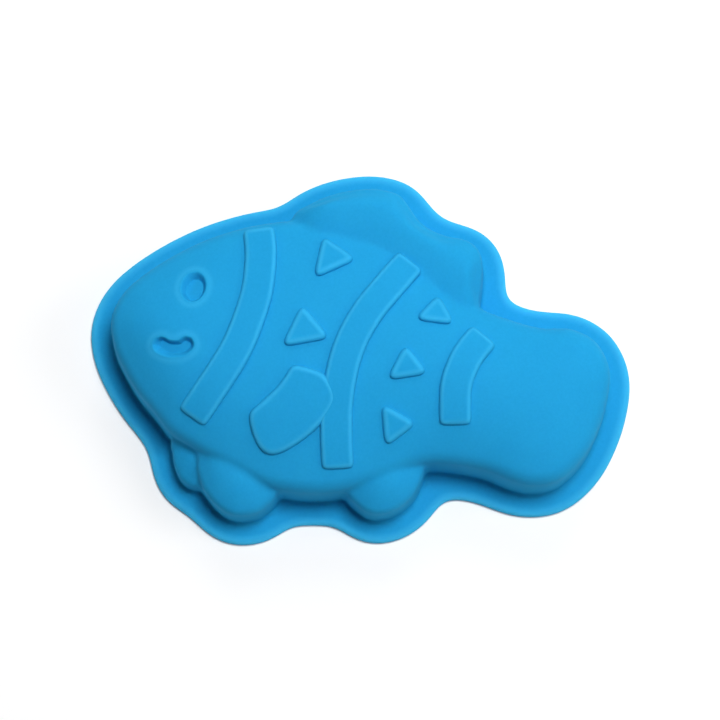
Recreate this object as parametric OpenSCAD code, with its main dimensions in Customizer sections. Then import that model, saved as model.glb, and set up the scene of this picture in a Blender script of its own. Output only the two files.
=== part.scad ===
// Sand mould in the shape of a fish: one soft moulding that lies on its rim, with the pocket bulging up.
// Millimetres. X runs from nose to tail, Y from belly to back, Z up from the face that it rests on.

/* [Outline] */
// Length of the pocket from nose to tail
pocket_length = 128; // [110:1:150]
// Width of the pocket from the belly fins to the back fin
pocket_width = 85; // [75:1:99]
// Width of the flat rim round the pocket
flange_width = 6.1; // [4.5:0.1:7]
// Thickness of the rim
flange_thickness = 2.4; // [1.8:0.1:3]

/* [Heights] */
// Top of the body above the resting face
body_crown = 30; // [27:0.5:34]
// Top of the back fin
dorsal_crown = 24.5; // [20:0.5:26]
// Top of the two domed belly fins
lobe_crown = 22; // [19:0.5:24]
// Top of the small belly fin under the head
low_lobe_crown = 15; // [13:0.5:17]

/* [Wall] */
// Thickness of the moulded wall
wall = 2.2; // [1.6:0.1:2.6]
// Lean of the side walls, in degrees
draft = 3; // [1:0.5:5]
// Width of the body's rounded shoulder between side wall and crown
body_shoulder = 6.5; // [5.5:0.1:8]
// Width of the back fin's shoulder
dorsal_shoulder = 3.8; // [3:0.1:5]
// Width of the domed belly fins' shoulder
lobe_shoulder = 8; // [6:0.1:8.5]
// Width of the small belly fin's shoulder
low_lobe_shoulder = 5; // [4:0.1:5.5]
// Height of a shoulder for its width
shoulder_steepness = 1.6; // [1:0.05:1.7]
// Swell of the body's crown above its shoulder
body_bulge = 2.6; // [1.5:0.1:3.5]
// Swell of the fins above their shoulders
fin_bulge = 0.8; // [0.5:0.1:1.2]

/* [Relief] */
// Height of the raised stripes and triangles
stripe_height = 1.2; // [0.8:0.1:1.5]
// Height of the raised side fin
side_fin_height = 1.8; // [1.6:0.1:2.2]
// Width of the stripes
stripe_width = 8; // [6.5:0.1:9]
// Depth of the eye and mouth
dimple_depth = 1.6; // [1:0.1:2]
// Length of the eye
eye_length = 7.2; // [5.5:0.1:8.5]
// Half the width of the mouth
mouth_radius = 1.9; // [1.5:0.1:2.4]

/* [Hidden] */

silicone = [0.14, 0.60, 0.85];
silicone_light = [0.22, 0.67, 0.90];

// How finely outlines, shoulders and crowns are divided
body_steps = 2;
fin_steps = 2;
rim_steps = 3;
stripe_steps = 2;
recess_steps = 1;
shoulder_angles = [0, 20, 40, 60, 77];
dome_shares = [0.35, 0.8];
edge_sides = 8;
dimple_sides = 12;

// Radii and fits that follow from the moulded wall
relief_edge = 0.8;
relief_step = 1.1;
rim_top_radius = 1.1;
rim_bottom_radius = 0.4;
rim_blend_passes = 3;
least_slant = 0.7;
deepest_share = 0.9;
corner_share = 0.97;
cut_margin = 1;
eye_slimness = 0.78;
eye_lean = -10;

// Edges of the pocket, anticlockwise from the front of the back fin, in shares of its length and width
head_shares = [[0.358, 0.899], [0.325, 0.895], [0.268, 0.879], [0.192, 0.842], [0.118, 0.786],
               [0.063, 0.73], [0.028, 0.681], [0.006, 0.623], [0, 0.566], [0.01, 0.496],
               [0.027, 0.441], [0.054, 0.372], [0.092, 0.302], [0.122, 0.247]];
far_shares = [[0.122, 0.247], [0.123, 0.205], [0.127, 0.167], [0.139, 0.125], [0.158, 0.1], [0.183, 0.094]];
near_shares = [[0.183, 0.094], [0.194, 0.068], [0.212, 0.035], [0.24, 0.006], [0.27, 0],
               [0.303, 0.011], [0.33, 0.045], [0.34, 0.072]];
belly_shares = [[0.34, 0.072], [0.405, 0.061], [0.47, 0.07]];
anal_shares = [[0.47, 0.07], [0.486, 0.04], [0.512, 0.011], [0.543, 0.005], [0.578, 0.023],
               [0.607, 0.06], [0.624, 0.107], [0.632, 0.15]];
tail_shares = [[0.632, 0.15], [0.734, 0.134], [0.796, 0.098], [0.84, 0.085], [0.893, 0.1],
               [0.941, 0.164], [0.97, 0.24], [0.991, 0.329], [1, 0.44], [0.972, 0.531],
               [0.919, 0.574], [0.86, 0.577], [0.802, 0.6], [0.742, 0.635]];
dorsal_shares = [[0.742, 0.635], [0.748, 0.7], [0.75, 0.765], [0.739, 0.814], [0.713, 0.843],
                 [0.673, 0.856], [0.642, 0.876], [0.62, 0.903], [0.599, 0.95], [0.576, 0.984],
                 [0.521, 1], [0.452, 0.985], [0.396, 0.95], [0.358, 0.899]];

// The body's own edge where a fin grows out of it
back_shares = [[0.683, 0.694], [0.624, 0.77], [0.543, 0.841], [0.46, 0.875], [0.405, 0.89]];
pelvic_root_shares = [[0.178, 0.191], [0.235, 0.141], [0.299, 0.091]];
anal_root_shares = [[0.552, 0.106]];

// The side of each fin that is buried in the body
dorsal_buried_shares = [[0.368, 0.79], [0.45, 0.74], [0.54, 0.68], [0.62, 0.58], [0.69, 0.5], [0.735, 0.55]];
far_buried_shares = [[0.215, 0.105], [0.25, 0.17], [0.235, 0.27], [0.165, 0.32]];
near_buried_shares = [[0.348, 0.14], [0.33, 0.22], [0.25, 0.28], [0.185, 0.25], [0.172, 0.16]];
anal_buried_shares = [[0.635, 0.21], [0.6, 0.26], [0.54, 0.27], [0.475, 0.22], [0.462, 0.13]];

// Ridge line of each crown
body_ridge_shares = [[0.217, 0.488], [0.441, 0.464], [0.636, 0.455], [0.772, 0.363], [0.859, 0.33]];
dorsal_ridge_shares = [[0.42, 0.84], [0.54, 0.81], [0.62, 0.74], [0.69, 0.66]];
far_ridge_shares = [[0.175, 0.23], [0.19, 0.17]];
near_ridge_shares = [[0.245, 0.175], [0.27, 0.145]];
anal_ridge_shares = [[0.552, 0.17], [0.55, 0.135]];

// Middle lines of the stripes, edge of the side fin, corners of the triangles, eye and mouth
front_stripe_shares = [[0.3, 0.853], [0.305, 0.798], [0.305, 0.745], [0.299, 0.66], [0.283, 0.576],
                       [0.262, 0.496], [0.231, 0.417], [0.172, 0.29]];
middle_stripe_shares = [[0.6, 0.76], [0.556, 0.677], [0.519, 0.606], [0.49, 0.532], [0.47, 0.452],
                        [0.456, 0.338], [0.454, 0.23], [0.457, 0.14]];
tail_stripe_shares = [[0.743, 0.532], [0.713, 0.476], [0.696, 0.425], [0.686, 0.369], [0.686, 0.267]];
side_fin_shares = [[0.369, 0.439], [0.402, 0.43], [0.434, 0.408], [0.453, 0.352], [0.447, 0.314],
                   [0.418, 0.257], [0.379, 0.211], [0.34, 0.182], [0.313, 0.187], [0.293, 0.232],
                   [0.284, 0.296], [0.302, 0.325], [0.337, 0.373], [0.358, 0.415]];
side_fin_middle_share = [0.372, 0.32];
triangle_shares = [[[0.431, 0.817], [0.482, 0.761], [0.417, 0.714]],
                   [[0.388, 0.603], [0.431, 0.524], [0.357, 0.504]],
                   [[0.652, 0.64], [0.675, 0.573], [0.618, 0.582]],
                   [[0.589, 0.484], [0.623, 0.421], [0.562, 0.406]],
                   [[0.548, 0.313], [0.6, 0.271], [0.554, 0.22]]];
eye_share = [0.174, 0.675];
mouth_shares = [[0.106, 0.505], [0.121, 0.491], [0.137, 0.487], [0.153, 0.49], [0.164, 0.503]];

function place(share) = [(share.x - 0.5) * pocket_length, (share.y - 0.5) * pocket_width];
function placed(shares) = [for (share = shares) place(share)];
function wrapped(list, i) = list[(i + len(list)) % len(list)];
function unit(v) = v / norm(v);
function mean(points) = [for (p = points) 1] * points / len(points);

// Smooth curve from b to c, shaped by the neighbours a and d
function bend(a, b, c, d, t) =
    b + (c - a) * t / 2 + (a - 2.5 * b + 2 * c - d / 2) * t * t + ((b - c) * 1.5 + (d - a) / 2) * t * t * t;

function closed_curve(points, steps) =
    [for (i = [0 : len(points) - 1]) for (s = [0 : steps - 1])
        bend(wrapped(points, i - 1), points[i], wrapped(points, i + 1), wrapped(points, i + 2), s / steps)];

// Curve along points, without its last point
function open_curve(points, steps) =
    let (last = len(points) - 1,
         ends = concat([2 * points[0] - points[1]], points, [2 * points[last] - points[last - 1]]))
    [for (i = [1 : last]) for (s = [0 : steps - 1])
        bend(ends[i - 1], ends[i], ends[i + 1], ends[i + 2], s / steps)];

// Outward direction at each point of an anticlockwise outline
function outward(points) =
    [for (i = [0 : len(points) - 1])
        let (run = unit(wrapped(points, i + 1) - wrapped(points, i - 1)))
        [run.y, -run.x]];

function nearest_on_line(p, a, b) =
    a + (b - a) * min(1, max(0, (p - a) * (b - a) / ((b - a) * (b - a))));

function nearest_on_path(p, path) =
    let (near = [for (k = [0 : len(path) - 2]) nearest_on_line(p, path[k], path[k + 1])],
         gaps = [for (q = near) norm(q - p)])
    near[search(min(gaps), gaps)[0]];

// A point of an outline drawn in toward the ridge, until it lies depth inside the outline
function drawn_in(p, out, foot, depth) =
    let (way = unit(foot - p))
    p + way * min(depth / max(-way * out, least_slant), norm(foot - p) * deepest_share);

// Height, shoulder width and swell of each crown
body_shape = [body_crown, body_shoulder, body_bulge];
dorsal_shape = [dorsal_crown, dorsal_shoulder, fin_bulge];
lobe_shape = [lobe_crown, lobe_shoulder, fin_bulge];
low_lobe_shape = [low_lobe_crown, low_lobe_shoulder, fin_bulge];

// Inset and height at an angle round the shoulder of a crown, with the skin drawn in by shrink
function shoulder_start(shape) = shape[0] - shape[2] - shape[1] * shoulder_steepness;
function shoulder_point(shape, shrink, angle) =
    [shrink + shoulder_start(shape) * tan(draft) + (shape[1] - shrink) * (1 - cos(angle)),
     shoulder_start(shape) + (shape[1] * shoulder_steepness - shrink) * sin(angle)];
function shoulder_end(shape, shrink) = shoulder_point(shape, shrink, max(shoulder_angles));
function dome_height(shape, shrink, t) =
    let (edge = shoulder_end(shape, shrink).y)
    edge + (shape[0] - shrink - edge) * (1 - (1 - t) * (1 - t));

// Rings of points from the foot of a pocket to its ridge
function pocket_rings(outline, ridge, shape, shrink) =
    let (out = outward(outline),
         feet = [for (p = outline) nearest_on_path(p, ridge)],
         foot_level = [shrink, shrink > 0 ? -cut_margin : 0],
         side = concat([foot_level], [for (a = shoulder_angles) shoulder_point(shape, shrink, a)]))
    concat(
        [for (level = side)
            [for (i = [0 : len(outline) - 1])
                concat(drawn_in(outline[i], out[i], feet[i], level.x), level.y)]],
        [for (t = dome_shares)
            [for (i = [0 : len(outline) - 1])
                let (edge = drawn_in(outline[i], out[i], feet[i], shoulder_end(shape, shrink).x))
                concat(edge + (feet[i] - edge) * t, dome_height(shape, shrink, t))]]);

// Solid through rings of equal count, closed flat at both ends
module loft(rings) {
    count = len(rings[0]);
    last = len(rings) - 1;
    sides = [for (k = [0 : last - 1]) for (i = [0 : count - 1])
                let (j = (i + 1) % count, low = k * count, high = low + count)
                each [[low + i, high + i, high + j], [low + i, high + j, low + j]]];
    bottom = [for (i = [0 : count - 1]) i];
    top = [for (i = [count - 1 : -1 : 0]) last * count + i];
    polyhedron(points = [for (ring = rings) each ring], faces = concat([bottom], sides, [top]));
}

body_outline = closed_curve(placed(concat(head_shares, pelvic_root_shares, belly_shares, anal_root_shares,
                                          tail_shares, back_shares)), body_steps);
body_ridge = placed(body_ridge_shares);
dorsal_outline = closed_curve(placed(concat(dorsal_shares, dorsal_buried_shares)), fin_steps);
far_outline = closed_curve(placed(concat(far_shares, far_buried_shares)), fin_steps);
near_outline = closed_curve(placed(concat(near_shares, near_buried_shares)), fin_steps);
anal_outline = closed_curve(placed(concat(anal_shares, anal_buried_shares)), fin_steps);

module body_form(shrink) { loft(pocket_rings(body_outline, body_ridge, body_shape, shrink)); }
module dorsal_form(shrink) {
    loft(pocket_rings(dorsal_outline, placed(dorsal_ridge_shares), dorsal_shape, shrink));
}
module far_form(shrink) { loft(pocket_rings(far_outline, placed(far_ridge_shares), low_lobe_shape, shrink)); }
module near_form(shrink) { loft(pocket_rings(near_outline, placed(near_ridge_shares), lobe_shape, shrink)); }
module anal_form(shrink) { loft(pocket_rings(anal_outline, placed(anal_ridge_shares), lobe_shape, shrink)); }

// Height of the body's outer surface over a point of the plan
function body_height(p) =
    let (depth = min([for (q = body_outline) norm(q - p)]),
         start = shoulder_point(body_shape, 0, 0).x,
         edge = shoulder_end(body_shape, 0).x,
         to_ridge = norm(nearest_on_path(p, body_ridge) - p))
    depth > edge
        ? dome_height(body_shape, 0, (depth - edge) / (depth - edge + to_ridge))
        : shoulder_point(body_shape, 0, acos(1 - max(0, depth - start) / body_shoulder)).y;

// A ball whose top is lift above the body's surface
module ball_on_body(p, radius, lift, sides) {
    translate(concat(p, body_height(p) + lift - radius))
        sphere(r = radius, $fn = sides);
}

// Raised band of even width along a middle line, drawn in and lowered for the inside of the wall
module stripe(shares, steps, shrink, drop) {
    middle = placed(shares);
    line = concat(open_curve(middle, steps), [middle[len(middle) - 1]]);
    last = len(line) - 1;
    inset = relief_edge + shrink;
    half = stripe_width / 2 - inset;
    function end_shift(i) =
        i == 0 ? unit(line[1] - line[0]) * inset : i == last ? unit(line[last - 1] - line[last]) * inset : [0, 0];
    function across(i) =
        let (run = unit(line[min(i + 1, last)] - line[max(i - 1, 0)]))
        [run.y, -run.x] * half;
    for (i = [0 : last - 1])
        hull()
            for (k = [i, i + 1])
                for (side = [-1, 1])
                    ball_on_body(line[k] + end_shift(k) + side * across(k), relief_edge, stripe_height - drop,
                                 edge_sides);
}

// Raised fin on the side, as a fan about its middle
module side_fin_pad(shrink, drop) {
    middle = place(side_fin_middle_share);
    edge = [for (p = placed(side_fin_shares)) p - unit(p - middle) * (relief_edge + shrink)];
    for (i = [0 : len(edge) - 1])
        hull()
            for (p = [middle, edge[i], wrapped(edge, i + 1)])
                ball_on_body(p, relief_edge, side_fin_height - drop, edge_sides);
}

module triangles(shrink, drop) {
    for (shares = triangle_shares)
        hull()
            for (p = placed(shares))
                ball_on_body(p - unit(p - mean(placed(shares))) * (relief_edge + shrink), relief_edge,
                             stripe_height - drop, edge_sides);
}

// Hollows of the eye and mouth, grown for the inside of the wall
module dimples(grow) {
    eye = place(eye_share);
    translate(concat(eye, body_height(eye)))
        rotate(eye_lean)
            scale([eye_length / 2 * eye_slimness + grow, eye_length / 2 + grow, dimple_depth + grow])
                sphere(r = 1, $fn = dimple_sides);
    mouth = placed(mouth_shares);
    for (i = [0 : len(mouth) - 2])
        hull()
            for (p = [mouth[i], mouth[i + 1]])
                ball_on_body(p, mouth_radius + grow, 2 * mouth_radius - dimple_depth + grow, dimple_sides);
}

// The body's outside, without its raised parts
module body_solid() {
    difference() {
        body_form(0);
        dimples(0);
    }
}

// The whole hollow, which opens through the resting face
module hollow() {
    difference() {
        union() {
            body_form(wall);
            stripe(front_stripe_shares, recess_steps, relief_step, wall);
            stripe(middle_stripe_shares, recess_steps, relief_step, wall);
            stripe(tail_stripe_shares, recess_steps, relief_step, wall);
            side_fin_pad(relief_step, wall);
            triangles(relief_step, wall);
        }
        dimples(wall);
    }
    dorsal_form(wall);
    far_form(wall);
    near_form(wall);
    anal_form(wall);
}

// Rim outline: the pocket's edge moved out by the rim's width, less what falls into a corner
pocket_edge = [for (shares = [head_shares, far_shares, near_shares, belly_shares, anal_shares, tail_shares,
                              dorsal_shares])
                  each open_curve(placed(shares), rim_steps)];
pocket_out = outward(pocket_edge);
rim_raw = [for (i = [0 : len(pocket_edge) - 1])
              let (q = pocket_edge[i] + pocket_out[i] * flange_width)
              if (min([for (p = pocket_edge) norm(q - p)]) > flange_width * corner_share) q];
function blended(points, passes) =
    passes == 0
        ? points
        : blended([for (i = [0 : len(points) - 1])
                      (wrapped(points, i - 1) + 2 * points[i] + wrapped(points, i + 1)) / 4], passes - 1);
rim_outline = blended(rim_raw, rim_blend_passes);
rim_out = outward(rim_outline);
function rim_ring(inset, z) =
    [for (i = [0 : len(rim_outline) - 1]) concat(rim_outline[i] - rim_out[i] * inset, z)];

module rim_plate() {
    foot_turn = [0, 90];
    lip_turn = [0, 45, 90];
    foot = [for (a = foot_turn) rim_ring(rim_bottom_radius * (1 - sin(a)), rim_bottom_radius * (1 - cos(a)))];
    lip = [for (a = lip_turn)
              rim_ring(rim_top_radius * (1 - cos(a)), flange_thickness - rim_top_radius * (1 - sin(a)))];
    loft(concat(foot, lip));
}

// Cuts a pocket off at the top of the rim
module above_rim() {
    difference() {
        children();
        translate([-pocket_length, -pocket_width, -cut_margin])
            cube([2 * pocket_length, 2 * pocket_width, flange_thickness + cut_margin]);
    }
}

module rim_flange() {
    color(silicone)
        difference() {
            rim_plate();
            hollow();
        }
}

module body_shell() {
    color(silicone)
        above_rim()
            difference() {
                body_solid();
                hollow();
            }
}

// Wall of a fin outside the body
module fin_wall() {
    color(silicone)
        above_rim()
            difference() {
                children();
                body_form(0);
                hollow();
            }
}

module dorsal_fin() { fin_wall() dorsal_form(0); }
module near_pelvic_fin() { fin_wall() near_form(0); }
module anal_fin() { fin_wall() anal_form(0); }
module far_pelvic_fin() {
    fin_wall()
        difference() {
            far_form(0);
            near_form(0);
        }
}

// A raised part, cut to sit on the body's crown
module on_crown() {
    color(silicone_light)
        difference() {
            children();
            body_solid();
        }
}

module front_stripe() { on_crown() stripe(front_stripe_shares, stripe_steps, 0, 0); }
module tail_stripe() { on_crown() stripe(tail_stripe_shares, stripe_steps, 0, 0); }
module side_fin() { on_crown() side_fin_pad(0, 0); }
module triangle_scales() { on_crown() triangles(0, 0); }
module middle_stripe() {
    on_crown()
        difference() {
            stripe(middle_stripe_shares, stripe_steps, 0, 0);
            side_fin_pad(0, 0);
        }
}

rim_flange();
body_shell();
dorsal_fin();
far_pelvic_fin();
near_pelvic_fin();
anal_fin();
front_stripe();
middle_stripe();
tail_stripe();
side_fin();
triangle_scales();
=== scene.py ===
# Sand mould in the shape of a fish: one soft blue moulding that lies on its rim, with the pocket bulging up.
import math

import bmesh
import bpy
import numpy as np
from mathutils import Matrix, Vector
from mathutils.bvhtree import BVHTree


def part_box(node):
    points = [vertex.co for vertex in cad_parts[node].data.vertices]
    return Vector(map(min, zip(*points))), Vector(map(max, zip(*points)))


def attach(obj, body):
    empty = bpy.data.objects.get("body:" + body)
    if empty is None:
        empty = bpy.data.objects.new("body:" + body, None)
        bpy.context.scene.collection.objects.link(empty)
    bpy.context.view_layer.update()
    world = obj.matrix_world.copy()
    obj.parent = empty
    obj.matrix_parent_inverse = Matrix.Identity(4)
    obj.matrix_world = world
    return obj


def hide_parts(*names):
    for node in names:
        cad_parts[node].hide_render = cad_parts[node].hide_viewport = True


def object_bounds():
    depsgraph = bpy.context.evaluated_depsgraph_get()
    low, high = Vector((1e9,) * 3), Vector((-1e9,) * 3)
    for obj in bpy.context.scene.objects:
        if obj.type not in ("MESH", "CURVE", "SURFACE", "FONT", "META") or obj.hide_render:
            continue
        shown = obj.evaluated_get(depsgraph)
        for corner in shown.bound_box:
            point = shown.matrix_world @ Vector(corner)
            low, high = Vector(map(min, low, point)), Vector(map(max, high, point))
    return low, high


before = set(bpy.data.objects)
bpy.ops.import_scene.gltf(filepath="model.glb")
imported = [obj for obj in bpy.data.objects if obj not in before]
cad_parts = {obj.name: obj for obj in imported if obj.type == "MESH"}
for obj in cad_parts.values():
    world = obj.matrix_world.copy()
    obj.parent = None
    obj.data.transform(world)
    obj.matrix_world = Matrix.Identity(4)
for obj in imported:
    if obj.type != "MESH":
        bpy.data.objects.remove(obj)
cad_low, cad_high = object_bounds()

# Sizes of the moulding, in metres
MM = 0.001
POCKET_LENGTH = 128 * MM
POCKET_WIDTH = 85 * MM
RIM_WIDTH = 5.75 * MM
RIM_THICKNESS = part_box("rim_flange")[1].z
RIM_TOP_RADIUS = 1.1 * MM
RIM_BOTTOM_RADIUS = 0.4 * MM
LIP_WIDTH = 2.4 * MM
WALL = 2.2 * MM
DRAFT = math.radians(3)
SHOULDER_STEEPNESS = 1.2
TAIL_START = 0.55
STRIPE_WIDTH = 8.1 * MM
EYE_LENGTH = 7.2 * MM
EYE_SLIMNESS = 0.78
EYE_LEAN = math.radians(-10)
MOUTH_RADIUS = 1.65 * MM
DIMPLE_DEPTH = 2 * MM
DIMPLE_BRIM = 0.6 * MM
DIMPLE_WALL = 1.2 * MM
DIMPLE_MARGIN = 1.8 * MM

# Crown height, shoulder width, swell and fall of the ridge toward the tail of each pocket
BODY_SHAPE = (30 * MM, 4.6 * MM, 6 * MM, 4 * MM)
DORSAL_SHAPE = (24.5 * MM, 2.4 * MM, 3.4 * MM, 0)
LOBE_SHAPE = (22 * MM, 2.6 * MM, 3.2 * MM, 0)
LOW_LOBE_SHAPE = (15 * MM, 1.8 * MM, 2.2 * MM, 0)

# Height, width of the rounded edge and rounding of the plan corners of each kind of raised pad
STRIPE_PAD = (1.5 * MM, 1.4 * MM, 1.8 * MM)
SIDE_FIN_PAD = (1.7 * MM, 1.6 * MM, 1.6 * MM)
TRIANGLE_PAD = (1.5 * MM, 1.8 * MM, 1.5 * MM)
TRIANGLE_GROWTH = 0.9 * MM
PAD_FOOT_SHARE = 0.35
# Strength of the painted highlight on the pads' rounded edges and on the rings round the eye and the mouth
PAD_EDGE_HIGHLIGHT = 0.5
RING_HIGHLIGHT = 0.3
PAD_ROOT = 0.8 * MM
PAD_BLANK = 2 * MM
RELIEF_STEP = 1.1 * MM
INNER_RELIEF_SHARE = 0.6

# How finely the forms are drawn and the moulded skin is meshed
CURVE_STEPS = 8
SHOULDER_ANGLES = np.radians(np.linspace(0, 66, 14))
DOME_SHARES = (0.1, 0.22, 0.36, 0.52, 0.7, 0.86, 0.97)
OUTER_VOXEL = 0.62 * MM
INNER_VOXEL = 1 * MM
PAD_VOXEL = 0.24 * MM
FIELD_STEP = 0.6 * MM
PLUG_FOOT = -2 * MM
RIM_SPACING = 1 * MM
OUTLINE_SPACING = 0.25 * MM

# Where the skin is smoothed, and how often
CREASE_REACH = 2 * MM
FOOT_CLEAR = 1 * MM
FOOT_BLEND = 2 * MM
CROWN_EDGE = 6 * MM
CROWN_BLEND = 4 * MM
CROWN_FLOOR = 26 * MM
RIM_PASSES = 18
CREASE_PASSES = 3
POCKET_PASSES = 8
CROWN_PASSES = 60
PLUG_PASSES = 10
PAD_PASSES = 3

# Edges of the pocket, anticlockwise from the front of the back fin, in shares of its length and width
HEAD_SHARES = [(0.358, 0.899), (0.325, 0.895), (0.268, 0.879), (0.192, 0.842), (0.118, 0.786),
               (0.063, 0.73), (0.028, 0.681), (0.006, 0.623), (0, 0.566), (0.01, 0.496),
               (0.027, 0.441), (0.054, 0.372), (0.092, 0.302), (0.122, 0.247)]
FAR_SHARES = [(0.122, 0.247), (0.123, 0.205), (0.127, 0.167), (0.139, 0.125), (0.158, 0.1), (0.183, 0.094)]
NEAR_SHARES = [(0.183, 0.094), (0.194, 0.068), (0.212, 0.035), (0.24, 0.006), (0.27, 0),
               (0.303, 0.011), (0.33, 0.045), (0.34, 0.072)]
BELLY_SHARES = [(0.34, 0.072), (0.405, 0.061), (0.47, 0.07)]
ANAL_SHARES = [(0.47, 0.07), (0.486, 0.04), (0.512, 0.011), (0.543, 0.005), (0.578, 0.023),
               (0.607, 0.06), (0.624, 0.107), (0.632, 0.15)]
TAIL_SHARES = [(0.632, 0.15), (0.734, 0.134), (0.796, 0.098), (0.84, 0.085), (0.893, 0.1),
               (0.941, 0.164), (0.97, 0.24), (0.991, 0.329), (1, 0.44), (0.972, 0.531),
               (0.919, 0.574), (0.86, 0.577), (0.802, 0.6), (0.742, 0.635)]
DORSAL_SHARES = [(0.742, 0.635), (0.748, 0.7), (0.75, 0.765), (0.739, 0.814), (0.713, 0.843),
                 (0.673, 0.856), (0.642, 0.876), (0.62, 0.903), (0.599, 0.95), (0.576, 0.984),
                 (0.521, 1), (0.452, 0.985), (0.396, 0.95), (0.358, 0.899)]
BACK_SHARES = [(0.683, 0.694), (0.624, 0.77), (0.543, 0.841), (0.46, 0.875), (0.405, 0.89)]
PELVIC_ROOT_SHARES = [(0.178, 0.191), (0.235, 0.141), (0.299, 0.091)]
ANAL_ROOT_SHARES = [(0.552, 0.106)]

# The side of each fin that is buried in the body
DORSAL_BURIED_SHARES = [(0.368, 0.79), (0.45, 0.74), (0.54, 0.68), (0.62, 0.58), (0.69, 0.5), (0.735, 0.55)]
FAR_BURIED_SHARES = [(0.215, 0.105), (0.25, 0.17), (0.235, 0.27), (0.165, 0.32)]
NEAR_BURIED_SHARES = [(0.348, 0.14), (0.33, 0.22), (0.25, 0.28), (0.185, 0.25), (0.172, 0.16)]
ANAL_BURIED_SHARES = [(0.635, 0.21), (0.6, 0.26), (0.54, 0.27), (0.475, 0.22), (0.462, 0.13)]

# Ridge line of each crown
BODY_RIDGE_SHARES = [(0.16, 0.53), (0.25, 0.49), (0.441, 0.464), (0.636, 0.455), (0.772, 0.363),
                     (0.859, 0.33)]
DORSAL_RIDGE_SHARES = [(0.44, 0.925), (0.53, 0.915), (0.59, 0.86), (0.65, 0.79), (0.705, 0.72)]
FAR_RIDGE_SHARES = [(0.175, 0.23), (0.19, 0.17)]
NEAR_RIDGE_SHARES = [(0.245, 0.175), (0.27, 0.145)]
ANAL_RIDGE_SHARES = [(0.552, 0.17), (0.55, 0.135)]

# Middle lines of the stripes, edge of the side fin, corners of the triangles, eye and mouth
FRONT_STRIPE_SHARES = [(0.3, 0.853), (0.305, 0.798), (0.305, 0.745), (0.299, 0.66), (0.283, 0.576),
                       (0.262, 0.496), (0.231, 0.417), (0.172, 0.29)]
MIDDLE_STRIPE_SHARES = [(0.6, 0.76), (0.556, 0.677), (0.519, 0.606), (0.49, 0.532), (0.47, 0.452),
                        (0.456, 0.338), (0.454, 0.23), (0.457, 0.14)]
TAIL_STRIPE_SHARES = [(0.743, 0.532), (0.713, 0.476), (0.696, 0.425), (0.686, 0.369), (0.686, 0.267)]
SIDE_FIN_SHARES = [(0.369, 0.439), (0.402, 0.43), (0.434, 0.408), (0.453, 0.352), (0.447, 0.314),
                   (0.418, 0.257), (0.379, 0.211), (0.34, 0.182), (0.313, 0.187), (0.293, 0.232),
                   (0.284, 0.296), (0.302, 0.325), (0.337, 0.373), (0.358, 0.415)]
TRIANGLE_SHARES = [[(0.431, 0.817), (0.482, 0.761), (0.417, 0.714)],
                   [(0.388, 0.603), (0.431, 0.524), (0.357, 0.504)],
                   [(0.652, 0.64), (0.675, 0.573), (0.618, 0.582)],
                   [(0.589, 0.484), (0.623, 0.421), (0.562, 0.406)],
                   [(0.548, 0.313), (0.6, 0.271), (0.554, 0.22)]]
EYE_SHARE = (0.174, 0.675)
MOUTH_SHARES = [(0.111, 0.501), (0.123, 0.491), (0.137, 0.488), (0.151, 0.49), (0.161, 0.5)]


def placed(shares):
    """Plan points of shares of the pocket's length and width."""
    return (np.array(shares) - 0.5) * (POCKET_LENGTH, POCKET_WIDTH)


def unit(vectors):
    return vectors / np.linalg.norm(vectors, axis=-1, keepdims=True)


def bend(a, b, c, d, t):
    """Smooth curve from b to c, shaped by the neighbours a and d."""
    return (b + (c - a) * t / 2 + (a - 2.5 * b + 2 * c - d / 2) * t ** 2
            + ((b - c) * 1.5 + (d - a) / 2) * t ** 3)


def closed_curve(points, steps=CURVE_STEPS):
    t = (np.arange(steps) / steps)[None, :, None]
    a, b, c, d = (np.roll(points, turn, axis=0)[:, None] for turn in (1, 0, -1, -2))
    return bend(a, b, c, d, t).reshape(-1, 2)


def open_curve(points, steps=CURVE_STEPS):
    ends = np.vstack([2 * points[:1] - points[1:2], points, 2 * points[-1:] - points[-2:-1]])
    t = (np.arange(steps) / steps)[None, :, None]
    a, b, c, d = (ends[k:len(ends) - 3 + k, None] for k in range(4))
    return np.vstack([bend(a, b, c, d, t).reshape(-1, 2), points[-1:]])


def evenly(points, spacing):
    """The same closed outline, with its points an even spacing apart."""
    loop = np.vstack([points, points[:1]])
    run = np.concatenate([[0], np.cumsum(np.linalg.norm(np.diff(loop, axis=0), axis=1))])
    at = np.linspace(0, run[-1], max(12, round(run[-1] / spacing)), endpoint=False)
    return np.column_stack([np.interp(at, run, loop[:, axis]) for axis in (0, 1)])


def outward(points):
    """Outward direction at each point of an anticlockwise outline."""
    run = unit(np.roll(points, -1, axis=0) - np.roll(points, 1, axis=0))
    return np.column_stack([run[:, 1], -run[:, 0]])


def nearest_on_path(points, path):
    a, b = path[:-1], path[1:]
    along = ((points[:, None] - a) * (b - a)).sum(2) / ((b - a) ** 2).sum(1)
    feet = a + (b - a) * np.clip(along, 0, 1)[:, :, None]
    best = np.linalg.norm(feet - points[:, None], axis=2).argmin(1)
    return feet[np.arange(len(points)), best]


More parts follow.
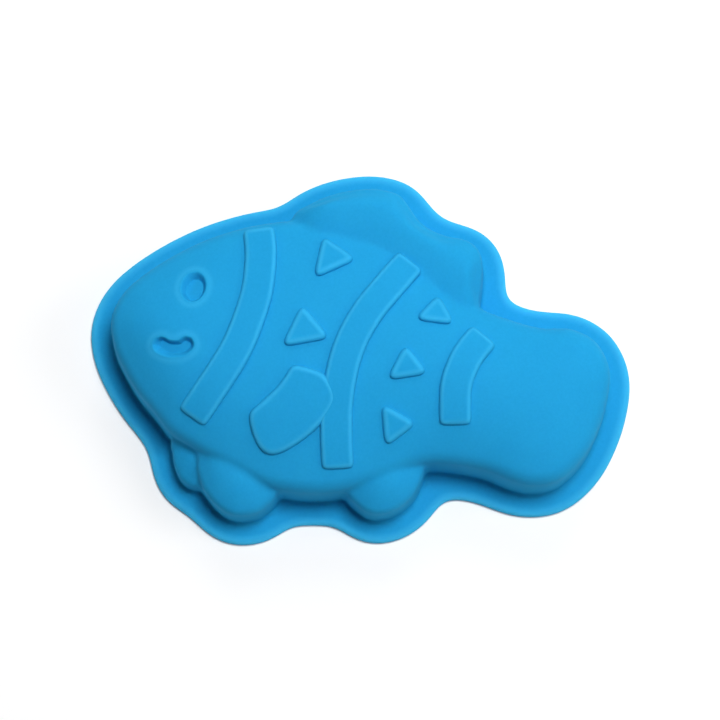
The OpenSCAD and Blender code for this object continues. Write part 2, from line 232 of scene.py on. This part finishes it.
def pocket_rings(outline, ridge, shape, shrink, foot):
    """Rings of points from the foot of a pocket to its ridge, with the skin drawn in by shrink."""
    crown, shoulder, swell, fall = shape
    feet = nearest_on_path(outline, ridge)
    along = feet[:, 0] / POCKET_LENGTH + 0.5
    ridge_height = crown - shrink - fall * np.clip((along - TAIL_START) / (1 - TAIL_START), 0, 1)
    way = unit(feet - outline)
    slant = np.maximum(-(way * outward(outline)).sum(1), 0.7)
    reach = np.linalg.norm(feet - outline, axis=1) * 0.9
    start = crown - swell - shoulder * SHOULDER_STEEPNESS

    def drawn_in(depth):
        return outline + way * np.minimum(depth / slant, reach)[:, None]

    def level(points, height):
        return np.column_stack([points, np.zeros(len(points)) + height])

    rings = [level(drawn_in(shrink), foot)]
    for angle in SHOULDER_ANGLES:
        depth = shrink + start * math.tan(DRAFT) + (shoulder - shrink) * (1 - math.cos(angle))
        height = start + (shoulder * SHOULDER_STEEPNESS - shrink) * math.sin(angle)
        rings.append(level(drawn_in(depth), height))
    edge = drawn_in(depth)
    for share in DOME_SHARES:
        rise = (ridge_height - height) * (1 - (1 - share) ** 2)
        rings.append(level(edge + (feet - edge) * share, height + rise))
    return rings


def deselect():
    if bpy.context.object and bpy.context.object.mode != "OBJECT":
        bpy.ops.object.mode_set(mode="OBJECT")
    bpy.ops.object.select_all(action="DESELECT")


def pick(piece):
    deselect()
    piece.select_set(True)
    bpy.context.view_layer.objects.active = piece


def loft(name, rings):
    """A filled circle laid on the first ring, then extruded from ring to ring."""
    deselect()
    bpy.ops.mesh.primitive_circle_add(vertices=len(rings[0]), fill_type="NGON")
    form = bpy.context.object
    form.name = name
    bpy.ops.object.mode_set(mode="EDIT")
    for step, ring in enumerate(rings):
        if step:
            bpy.ops.mesh.extrude_region_move()
        mesh = bmesh.from_edit_mesh(form.data)
        top = next(face for face in mesh.faces if face.select)
        for corner, point in zip(top.verts, ring):
            corner.co = point
        bmesh.update_edit_mesh(form.data)
    bpy.ops.mesh.select_all(action="SELECT")
    bpy.ops.mesh.normals_make_consistent(inside=False)
    bpy.ops.object.mode_set(mode="OBJECT")
    return form


def apply_modifier(piece, kind, **settings):
    pick(piece)
    modifier = piece.modifiers.new(kind.title(), kind)
    for key, value in settings.items():
        setattr(modifier, key, value)
    bpy.ops.object.modifier_apply(modifier=modifier.name)


def fuse(name, forms, voxel):
    """Joins closed forms and meshes them anew as one skin."""
    deselect()
    for form in forms:
        form.select_set(True)
    bpy.context.view_layer.objects.active = forms[0]
    if len(forms) > 1:
        bpy.ops.object.join()
    skin = bpy.context.object
    skin.name = name
    apply_modifier(skin, "REMESH", mode="VOXEL", voxel_size=voxel, use_smooth_shade=True)
    return skin


def places(piece):
    flat = np.empty(len(piece.data.vertices) * 3)
    piece.data.vertices.foreach_get("co", flat)
    return flat.reshape(-1, 3)


def move_to(piece, points):
    piece.data.vertices.foreach_set("co", points.ravel())
    piece.data.update()


def weigh(piece, name, weights):
    group = piece.vertex_groups.new(name=name)
    steps = np.round(np.clip(weights, 0, 1) * 20).astype(int)
    for step in range(1, 21):
        chosen = np.nonzero(steps == step)[0].tolist()
        if chosen:
            group.add(chosen, step / 20, "REPLACE")
    return group


def surface_of(piece):
    return BVHTree.FromObject(piece, bpy.context.evaluated_depsgraph_get())


# The edge of the whole pocket, and the rim's outline round it
body_outline = closed_curve(placed(HEAD_SHARES + PELVIC_ROOT_SHARES + BELLY_SHARES + ANAL_ROOT_SHARES
                                   + TAIL_SHARES + BACK_SHARES))
pocket_plan = {
    "body": (body_outline, open_curve(placed(BODY_RIDGE_SHARES)), BODY_SHAPE),
    "dorsal": (closed_curve(placed(DORSAL_SHARES + DORSAL_BURIED_SHARES)),
               open_curve(placed(DORSAL_RIDGE_SHARES)), DORSAL_SHAPE),
    "far": (closed_curve(placed(FAR_SHARES + FAR_BURIED_SHARES)), placed(FAR_RIDGE_SHARES), LOW_LOBE_SHAPE),
    "near": (closed_curve(placed(NEAR_SHARES + NEAR_BURIED_SHARES)), placed(NEAR_RIDGE_SHARES), LOBE_SHAPE),
    "anal": (closed_curve(placed(ANAL_SHARES + ANAL_BURIED_SHARES)), placed(ANAL_RIDGE_SHARES), LOBE_SHAPE),
}
pocket_edge = np.vstack([open_curve(placed(shares))[:-1] for shares in (
    HEAD_SHARES, FAR_SHARES, NEAR_SHARES, BELLY_SHARES, ANAL_SHARES, TAIL_SHARES, DORSAL_SHARES)])
rim_raw = pocket_edge + outward(pocket_edge) * RIM_WIDTH
clear = np.linalg.norm(rim_raw[:, None] - pocket_edge, axis=2).min(1) > RIM_WIDTH * 0.97
rim_outline = evenly(rim_raw[clear], RIM_SPACING)
for blend_pass in range(RIM_PASSES):
    rim_outline = (np.roll(rim_outline, 1, axis=0) + 2 * rim_outline + np.roll(rim_outline, -1, axis=0)) / 4


def rim_rings():
    out = outward(rim_outline)
    rings = []
    for angle in np.radians(np.linspace(0, 90, 5)):
        inset = RIM_BOTTOM_RADIUS * (1 - math.sin(angle))
        height = RIM_BOTTOM_RADIUS * (1 - math.cos(angle))
        rings.append((inset, height))
    for angle in np.radians(np.linspace(0, 90, 9)):
        inset = RIM_TOP_RADIUS * (1 - math.cos(angle))
        height = RIM_THICKNESS - RIM_TOP_RADIUS * (1 - math.sin(angle))
        rings.append((inset, height))
    return [np.column_stack([rim_outline - out * inset, np.full(len(out), height)])
            for inset, height in rings]


# Outside of the moulding
forms = [loft("rim_plate", rim_rings())]
for name, (outline, ridge, shape) in pocket_plan.items():
    forms.append(loft(name + "_form", pocket_rings(outline, ridge, shape, 0, 0)))
form_surfaces = [surface_of(form) for form in forms]
skin = fuse("moulded_skin", forms, OUTER_VOXEL)

# Creases between the forms, which the moulding rounds off
nearness = np.array([sorted(surface.find_nearest(vertex.co)[3] for surface in form_surfaces[1:])[1]
                     for vertex in skin.data.vertices])
above_foot = (places(skin)[:, 2] - RIM_THICKNESS) / FOOT_BLEND
weigh(skin, "crease", np.minimum(1 - nearness / CREASE_REACH, above_foot))
apply_modifier(skin, "SMOOTH", factor=0.5, iterations=CREASE_PASSES, vertex_group="crease")
weigh(skin, "pocket", (places(skin)[:, 2] - RIM_THICKNESS - FOOT_CLEAR) / FOOT_BLEND)
apply_modifier(skin, "SMOOTH", factor=0.5, iterations=POCKET_PASSES, vertex_group="pocket")

# The crown's swell, evened out away from the edges
plan_depth = np.linalg.norm(places(skin)[:, None, :2] - body_outline[None, ::4], axis=2).min(1)
on_crown = np.clip((plan_depth - CROWN_EDGE) / CROWN_BLEND, 0, 1) * (places(skin)[:, 2] > CROWN_FLOOR)
weigh(skin, "crown", on_crown)
apply_modifier(skin, "SMOOTH", factor=0.5, iterations=CROWN_PASSES, vertex_group="crown")


def blurred(grid, passes):
    for step in range(passes):
        for axis in (0, 1):
            edged = np.concatenate([grid.take([0], axis), grid, grid.take([-1], axis)], axis)
            count = grid.shape[axis]
            low, middle, high = (edged.take(range(k, count + k), axis) for k in range(3))
            grid = (low + 2 * middle + high) / 4
    return grid


def sampled_heights(piece):
    """Heights of a piece over an even plan grid."""
    surface = surface_of(piece)
    columns = np.arange(cad_low.x, cad_high.x, FIELD_STEP)
    rows = np.arange(cad_low.y, cad_high.y, FIELD_STEP)
    grid = np.zeros((len(columns), len(rows)))
    for i, x in enumerate(columns):
        for j, y in enumerate(rows):
            hit = surface.ray_cast((x, y, 1), (0, 0, -1))[0]
            grid[i, j] = hit.z if hit else 0
    return grid


def look_up(grid, points):
    """Values of a plan grid at points between its corners."""
    at = (points - (cad_low.x, cad_low.y)) / FIELD_STEP
    cell = np.clip(at.astype(int), 0, np.array(grid.shape) - 2)
    u, v = (at - cell).T
    i, j = cell.T
    low = grid[i, j] * (1 - u) + grid[i + 1, j] * u
    high = grid[i, j + 1] * (1 - u) + grid[i + 1, j + 1] * u
    return low * (1 - v) + high * v


crown_heights = sampled_heights(skin)
crown_slopes = [grid / FIELD_STEP for grid in np.gradient(blurred(crown_heights, 8))]
crown_heights = blurred(crown_heights, 1)


def upright(points, lean=1):
    """Direction out of the crown at plan points; lean 0 is straight up."""
    slopes = [look_up(grid, points) for grid in crown_slopes]
    return unit(np.column_stack([-slopes[0] * lean, -slopes[1] * lean, np.ones(len(points))]))


def gap_to(points, path):
    """Distance of plan points from a path, a few thousand at a time."""
    parts = np.array_split(points, len(points) // 2000 + 1)
    return np.concatenate([np.linalg.norm(part - nearest_on_path(part, path), axis=1) for part in parts])


def inside(points, outline):
    """Whether plan points lie inside a closed outline."""
    a, b = outline, np.roll(outline, -1, axis=0)
    found = np.zeros(len(points), bool)
    for (ax, ay), (bx, by) in zip(a, b):
        crosses = (ay > points[:, 1]) != (by > points[:, 1])
        if ay != by:
            found ^= crosses & (points[:, 0] < ax + (bx - ax) * (points[:, 1] - ay) / (by - ay))
    return found


def depth_inside(points, outline):
    """Distance inside a closed outline, negative outside it."""
    gap = gap_to(points, np.vstack([outline, outline[:1]]))
    return np.where(inside(points, outline), gap, -gap)


def rounded(points, radius):
    """A closed outline with its corners rounded."""
    loop = evenly(points, OUTLINE_SPACING)
    for step in range(round((radius / OUTLINE_SPACING) ** 2 / 1.5)):
        loop = (np.roll(loop, 1, axis=0) + 2 * loop + np.roll(loop, -1, axis=0)) / 4
    return loop


def band(shares, width):
    """Outline of an even band along a middle line."""
    line = open_curve(placed(shares))
    run = unit(np.gradient(line, axis=0))
    across = np.column_stack([run[:, 1], -run[:, 0]]) * width / 2
    return np.vstack([line + across, (line - across)[::-1]])


def crest(depth, pad):
    """Height of a pad at a depth inside its outline: a low wall, then a rounded edge."""
    height, edge = pad[:2]
    foot = height * PAD_FOOT_SHARE
    turn = np.clip(depth / edge, 0, 1)
    return foot + (height - foot) * np.sqrt(1 - (1 - turn) ** 2)


def dimple(gap):
    """Share of the full depth at a distance outside the edge of a hollow."""
    turn = np.clip((DIMPLE_BRIM - gap) / DIMPLE_WALL, 0, 1)
    return 1 - (1 - turn ** 2.2) ** 1.6


def paint_edge_highlight(piece, shares):
    """Keeps a painted highlight share for each point on a thin edge, which the material turns into a paler
    blue.
    """
    edge = piece.data.attributes.new("edge", "FLOAT", "POINT")
    edge.data.foreach_set("value", np.clip(shares, 0, 1))


def finish_piece(piece, *nodes):
    pick(piece)
    bpy.ops.object.shade_smooth()
    piece.vertex_groups.clear()
    piece.data.materials.clear()
    piece.data.materials.append(silicone)
    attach(piece, "root")
    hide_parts(*nodes)


def link(tree, source, output, target, socket):
    tree.links.new(source.outputs[output], target.inputs[socket])


def node(tree, kind, **values):
    """A shader node with its input values set by name."""
    made = tree.nodes.new(kind)
    for key, value in values.items():
        made.inputs[key.replace("_", " ")].default_value = value
    return made


def noise(tree, coordinates, scale, detail):
    made = node(tree, "ShaderNodeTexNoise", Scale=scale, Detail=detail)
    link(tree, coordinates, "Object", made, "Vector")
    return made


def mapped(tree, source, low, high):
    """The middle range of a noise, spread from low to high."""
    made = node(tree, "ShaderNodeMapRange", From_Min=0.3, From_Max=0.7, To_Min=low, To_Max=high)
    link(tree, source, "Fac", made, "Value")
    return made


# The moulding's blue, a paler blue painted on thin edges as a highlight, and the depth that light reaches in
# it
DEEP_BLUE = (0.012, 0.3, 0.6, 1)
PALE_BLUE = (0.016, 0.33, 0.65, 1)
HIGHLIGHT_BLUE = (0.05, 0.47, 0.8, 1)
SCATTER_DEPTH = 0.8 * MM


def silicone_material():
    """Matte blue silicone: faint patches, a fine grain, a painted highlight on thin edges, light scattered
    inside.
    """
    material = bpy.data.materials.new("blue_silicone")
    material.use_nodes = True
    tree = material.node_tree
    shader = tree.nodes["Principled BSDF"]
    shader.inputs["IOR"].default_value = 1.41
    shader.inputs["Specular IOR Level"].default_value = 0.05
    shader.inputs["Subsurface Weight"].default_value = 0.3
    shader.inputs["Subsurface Radius"].default_value = (1, 1, 1)
    shader.inputs["Subsurface Scale"].default_value = SCATTER_DEPTH
    coordinates = tree.nodes.new("ShaderNodeTexCoord")
    patches = noise(tree, coordinates, 30, 3)
    grain = noise(tree, coordinates, 1500, 2)
    tone = tree.nodes.new("ShaderNodeMix")
    tone.data_type = "RGBA"
    tone.inputs[6].default_value = DEEP_BLUE
    tone.inputs[7].default_value = PALE_BLUE
    share = node(tree, "ShaderNodeMath")
    share.operation = "ADD"
    tree.links.new(mapped(tree, patches, 0, 0.4).outputs[0], share.inputs[0])
    tree.links.new(mapped(tree, grain, 0, 0.6).outputs[0], share.inputs[1])
    tree.links.new(share.outputs[0], tone.inputs[0])
    # Painted highlight: the edge attribute mixes a paler blue into the base colour
    edge = tree.nodes.new("ShaderNodeAttribute")
    edge.attribute_name = "edge"
    highlight_mix = tree.nodes.new("ShaderNodeMix")
    highlight_mix.data_type = "RGBA"
    highlight_mix.inputs[7].default_value = HIGHLIGHT_BLUE
    tree.links.new(edge.outputs["Fac"], highlight_mix.inputs[0])
    tree.links.new(tone.outputs[2], highlight_mix.inputs[6])
    tree.links.new(highlight_mix.outputs[2], shader.inputs["Base Color"])
    tree.links.new(mapped(tree, grain, 0.7, 0.8).outputs[0], shader.inputs["Roughness"])
    bump = node(tree, "ShaderNodeBump", Strength=0.12, Distance=0.0001)
    link(tree, grain, "Fac", bump, "Height")
    link(tree, bump, "Normal", shader, "Normal")
    return material


silicone = silicone_material()


def raised_pad(name, outlines, pad):
    """Flat blanks of the outlines, meshed finely, then laid on the crown with rounded edges."""
    blanks = []
    for outline in outlines:
        low = np.column_stack([outline, np.zeros(len(outline))])
        blanks.append(loft(name, [low, low + (0, 0, PAD_BLANK)]))
    piece = fuse(name, blanks, PAD_VOXEL)
    points = places(piece)
    plan = points[:, :2]
    depth = np.max([depth_inside(plan, outline) for outline in outlines], axis=0)
    lift = np.clip(points[:, 2] / PAD_BLANK, 0, 1) * (crest(depth, pad) + PAD_ROOT) - PAD_ROOT
    laid = np.column_stack([plan, look_up(crown_heights, plan)]) + upright(plan, 0.5) * lift[:, None]
    move_to(piece, laid)
    apply_modifier(piece, "SMOOTH", factor=0.5, iterations=PAD_PASSES)
    # Painted highlight along each pad's rounded edge, strongest halfway across it
    paint_edge_highlight(piece, PAD_EDGE_HIGHLIGHT * (1 - abs(depth / pad[1] - 0.5) * 2))
    return piece


# Outlines of the raised pads
stripe_outlines = {name: rounded(band(shares, STRIPE_WIDTH), STRIPE_PAD[2]) for name, shares in (
    ("front_stripe", FRONT_STRIPE_SHARES), ("middle_stripe", MIDDLE_STRIPE_SHARES),
    ("tail_stripe", TAIL_STRIPE_SHARES))}
side_fin_outline = rounded(closed_curve(placed(SIDE_FIN_SHARES)), SIDE_FIN_PAD[2])
triangle_outlines = []
for shares in TRIANGLE_SHARES:
    corners = placed(shares)
    corners = corners[::-1] if np.cross(corners[1] - corners[0], corners[2] - corners[0]) < 0 else corners
    blank = evenly(corners, OUTLINE_SPACING)
    triangle_outlines.append(rounded(blank + outward(blank) * TRIANGLE_GROWTH, TRIANGLE_PAD[2]))

for name, outline in stripe_outlines.items():
    finish_piece(raised_pad(name + "_pad", [outline], STRIPE_PAD), name)
finish_piece(raised_pad("side_fin_pad", [side_fin_outline], SIDE_FIN_PAD), "side_fin")
finish_piece(raised_pad("triangle_pads", triangle_outlines, TRIANGLE_PAD), "triangle_scales")

# Eye and mouth
eye_place = placed(EYE_SHARE)
mouth_path = open_curve(placed(MOUTH_SHARES))


def gap_to_dimples(points):
    """Distance outside the edge of the eye or the mouth, whichever is nearer."""
    turn = np.array([[math.cos(EYE_LEAN), -math.sin(EYE_LEAN)], [math.sin(EYE_LEAN), math.cos(EYE_LEAN)]])
    from_eye = (points - eye_place) @ turn
    half = np.array([EYE_SLIMNESS, 1]) * EYE_LENGTH / 2
    round_eye = np.linalg.norm(from_eye / half, axis=1)
    eye_gap = (round_eye - 1) * np.linalg.norm(from_eye, axis=1) / np.maximum(round_eye, 0.05)
    return np.minimum(eye_gap, gap_to(points, mouth_path) - MOUTH_RADIUS)


pick(skin)
bpy.ops.object.mode_set(mode="EDIT")
bpy.ops.mesh.select_all(action="DESELECT")
bpy.ops.mesh.select_mode(type="FACE")
mesh = bmesh.from_edit_mesh(skin.data)
centres = np.array([face.calc_center_median() for face in mesh.faces])
near_dimples = (gap_to_dimples(centres[:, :2]) < DIMPLE_MARGIN) & (centres[:, 2] > RIM_THICKNESS * 2)
for face, chosen in zip(mesh.faces, near_dimples):
    face.select_set(bool(chosen))
bmesh.update_edit_mesh(skin.data)
bpy.ops.mesh.subdivide(number_cuts=3, smoothness=0)
bpy.ops.object.mode_set(mode="OBJECT")
points = places(skin)
sunk = dimple(gap_to_dimples(points[:, :2])) * (points[:, 2] > RIM_THICKNESS * 2) * DIMPLE_DEPTH
move_to(skin, points - upright(points[:, :2]) * sunk[:, None])

# Inside of the moulding, an even wall below the outside, with the relief repeated less deeply
plug = fuse("plug", [loft(name + "_plug", pocket_rings(outline, ridge, shape, WALL, PLUG_FOOT))
                     for name, (outline, ridge, shape) in pocket_plan.items()], INNER_VOXEL)
weigh(plug, "pocket", (places(plug)[:, 2] - RIM_THICKNESS - FOOT_CLEAR) / FOOT_BLEND)
apply_modifier(plug, "SMOOTH", factor=0.5, iterations=PLUG_PASSES, vertex_group="pocket")
points = places(plug)
plan = points[:, :2]
roof = np.clip((points[:, 2] - look_up(crown_heights, plan) + 2 * WALL) / WALL, 0, 1)
relief = -dimple(gap_to_dimples(plan) - WALL / 2) * DIMPLE_DEPTH
for outline, pad in ([(outline, STRIPE_PAD) for outline in stripe_outlines.values()]
                     + [(side_fin_outline, SIDE_FIN_PAD)]
                     + [(outline, TRIANGLE_PAD) for outline in triangle_outlines]):
    depth = depth_inside(plan, outline) - RELIEF_STEP
    relief = np.maximum(relief, np.where(depth > 0, crest(depth, pad) * INNER_RELIEF_SHARE, relief))
move_to(plug, points + upright(plan, 0.5) * (relief * roof)[:, None])
apply_modifier(skin, "BOOLEAN", operation="DIFFERENCE", object=plug, solver="MANIFOLD")
bpy.data.objects.remove(plug)

# Painted highlight on thin edges: strongest at the rim's lip, and a fainter ring round the eye and the mouth
points = places(skin)
lip_gap = gap_to(points[:, :2], np.vstack([rim_outline, rim_outline[:1]]))
ring_gap = gap_to_dimples(points[:, :2])
ring = RING_HIGHLIGHT * (1 - abs(ring_gap / RIM_TOP_RADIUS - 1.2)) * (points[:, 2] > RIM_THICKNESS * 2)
paint_edge_highlight(skin, np.maximum(1 - lip_gap / LIP_WIDTH, ring))
finish_piece(skin, "rim_flange", "body_shell", "dorsal_fin", "far_pelvic_fin", "near_pelvic_fin", "anal_fin")

# Camera at the photograph's viewing angle
CAMERA_DISTANCE = 0.8
CAMERA_TILT = math.radians(7.5)
PICTURE_PIXELS = 720
PIXEL_SIZE = 0.2588 * MM
PICTURE_WIDTH = PICTURE_PIXELS * PIXEL_SIZE
SENSOR_WIDTH = 36
camera_data = bpy.data.cameras.new("camera")
camera_data.sensor_width = SENSOR_WIDTH
camera_data.lens = SENSOR_WIDTH * CAMERA_DISTANCE / PICTURE_WIDTH
camera = bpy.data.objects.new("camera", camera_data)
bpy.context.scene.collection.objects.link(camera)
camera.location = (0, -CAMERA_DISTANCE * math.sin(CAMERA_TILT), CAMERA_DISTANCE * math.cos(CAMERA_TILT))
camera.rotation_euler = (CAMERA_TILT, 0, 0)
bpy.context.scene.camera = camera

# Floor
FLOOR_SIZE = 6
deselect()
bpy.ops.mesh.primitive_plane_add(size=FLOOR_SIZE)
floor = bpy.context.object
floor.name = "floor"
floor_material = bpy.data.materials.new("floor")
floor_material.use_nodes = True
floor_tree = floor_material.node_tree
floor_shader = floor_tree.nodes["Principled BSDF"]
floor_shader.inputs["Base Color"].default_value = (0.9, 0.9, 0.9, 1)
floor_shader.inputs["Roughness"].default_value = 0.9
floor_shader.inputs["Specular IOR Level"].default_value = 0.1
floor_shader.inputs["Emission Color"].default_value = (1, 1, 1, 1)


def seen_directly(tree):
    """1 for camera, glossy and transmission rays, which see the background itself."""
    path = tree.nodes.new("ShaderNodeLightPath")
    total = path.outputs["Is Camera Ray"]
    for ray in ("Is Glossy Ray", "Is Transmission Ray"):
        adder = tree.nodes.new("ShaderNodeMath")
        adder.operation = "ADD"
        adder.use_clamp = True
        tree.links.new(total, adder.inputs[0])
        tree.links.new(path.outputs[ray], adder.inputs[1])
        total = adder.outputs[0]
    return total


def between(tree, share, low, high):
    made = node(tree, "ShaderNodeMapRange", To_Min=low, To_Max=high)
    tree.links.new(share, made.inputs["Value"])
    return made.outputs[0]


FLOOR_GLOW = 0.06
WORLD_FILL = 0.09
glow = between(floor_tree, seen_directly(floor_tree), 0, FLOOR_GLOW)
floor_tree.links.new(glow, floor_shader.inputs["Emission Strength"])
floor.data.materials.append(floor_material)

# Light
world = bpy.data.worlds.new("world")
bpy.context.scene.world = world
world.use_nodes = True
world_tree = world.node_tree
background = world_tree.nodes["Background"]
background.inputs["Color"].default_value = (1, 1, 1, 1)
fill = between(world_tree, seen_directly(world_tree), WORLD_FILL, 1)
world_tree.links.new(fill, background.inputs["Strength"])


def soft_lamp(name, location, size, power):
    data = bpy.data.lights.new(name, "AREA")
    data.size = size
    data.energy = power
    lamp = bpy.data.objects.new(name, data)
    bpy.context.scene.collection.objects.link(lamp)
    lamp.location = location
    lamp.rotation_euler = (-Vector(location)).to_track_quat("-Z", "Y").to_euler()
    return lamp


# Place and size in metres, power in watts
LAMPS = [("over", (0.17, 0.18, 1.2), 0.32, 12.3),
         ("back", (0, 0.9, 0.7), 0.6, 3),
         ("right", (0.9, 0, 0.7), 0.6, 3)]
for lamp in LAMPS:
    soft_lamp(*lamp)

bpy.context.scene.view_settings.view_transform = "Standard"
